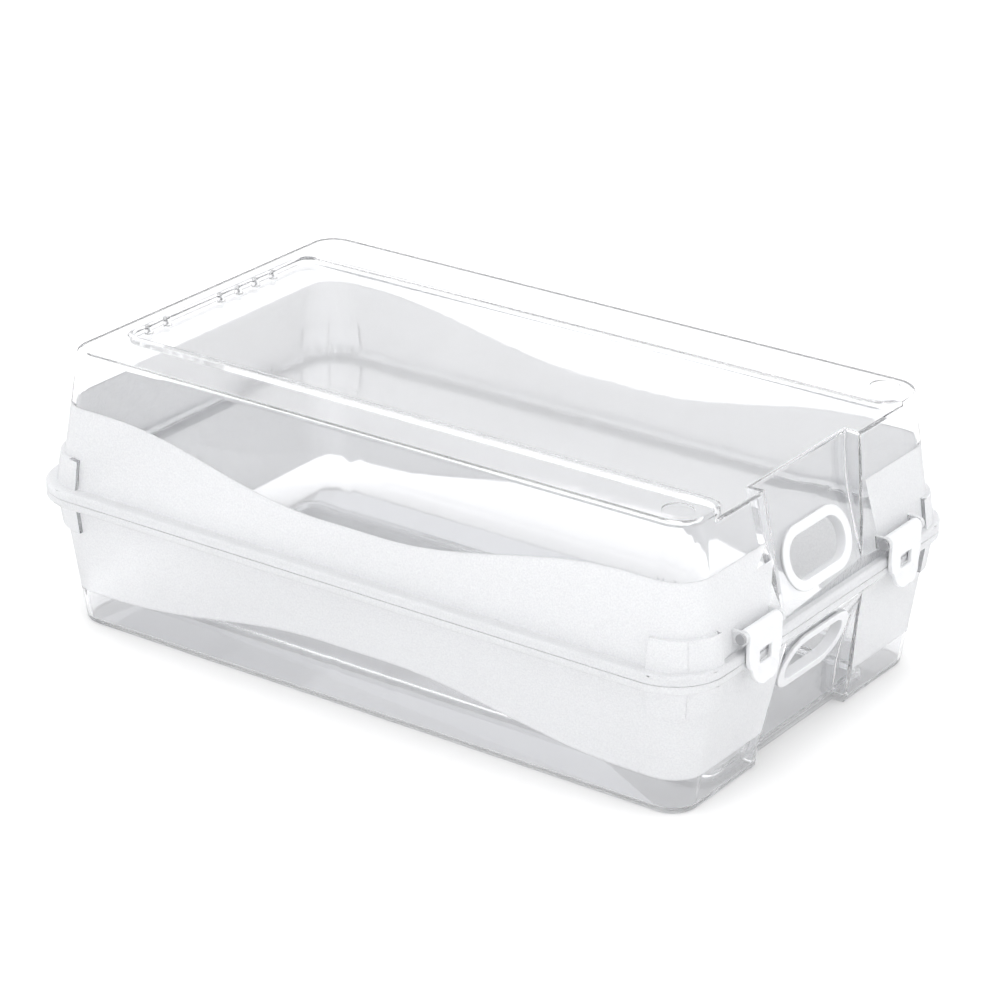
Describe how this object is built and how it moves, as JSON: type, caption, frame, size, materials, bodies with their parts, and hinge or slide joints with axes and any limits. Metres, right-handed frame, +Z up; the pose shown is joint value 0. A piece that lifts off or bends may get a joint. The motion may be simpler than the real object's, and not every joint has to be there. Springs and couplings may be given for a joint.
{
  "type": "egg holder tray",
  "caption": "Clear two-part egg tray with a hinged upper half, grip openings and flip latches at the front end.",
  "frame": {"origin": "middle of the underside of the whole tray's bounding box, on the plane that it stands on", "axes": "+X towards the front end with the latches and grip openings, +Y towards the left side seen from the rear, +Z up"},
  "size_m": [0.3607, 0.216, 0.129],
  "materials": {
    "clear_plastic": "clear, with a frosted band round the middle",
    "white_plastic": "satin white",
    "pin_steel": "plain drawn wire"
  },
  "bodies": {
    "base": {"lower_shell": "clear_plastic", "lower_grip_rim": "white_plastic", "left_hinge_pin": "pin_steel", "right_hinge_pin": "pin_steel"},
    "lid": {"upper_shell": "clear_plastic", "upper_grip_rim": "white_plastic", "left_latch_pin": "pin_steel", "right_latch_pin": "pin_steel"},
    "left_latch": {"left_latch": "white_plastic"},
    "right_latch": {"right_latch": "white_plastic"}
  },
  "joints": [
    {"name": "lid_hinge", "type": "hinge", "parent": "base", "child": "lid", "pos_m": [-0.17685, 0, 0.0645], "axis": [0, -1, 0], "range_deg": [0, 180]},
    {"name": "left_latch_hinge", "type": "hinge", "parent": "lid", "child": "left_latch", "pos_m": [0.17565, 0.0565, 0.0757], "axis": [0, -1, 0], "range_deg": [0, 150]},
    {"name": "right_latch_hinge", "type": "hinge", "parent": "lid", "child": "right_latch", "pos_m": [0.17565, -0.0565, 0.0757], "axis": [0, -1, 0], "range_deg": [0, 150]}
  ]
}
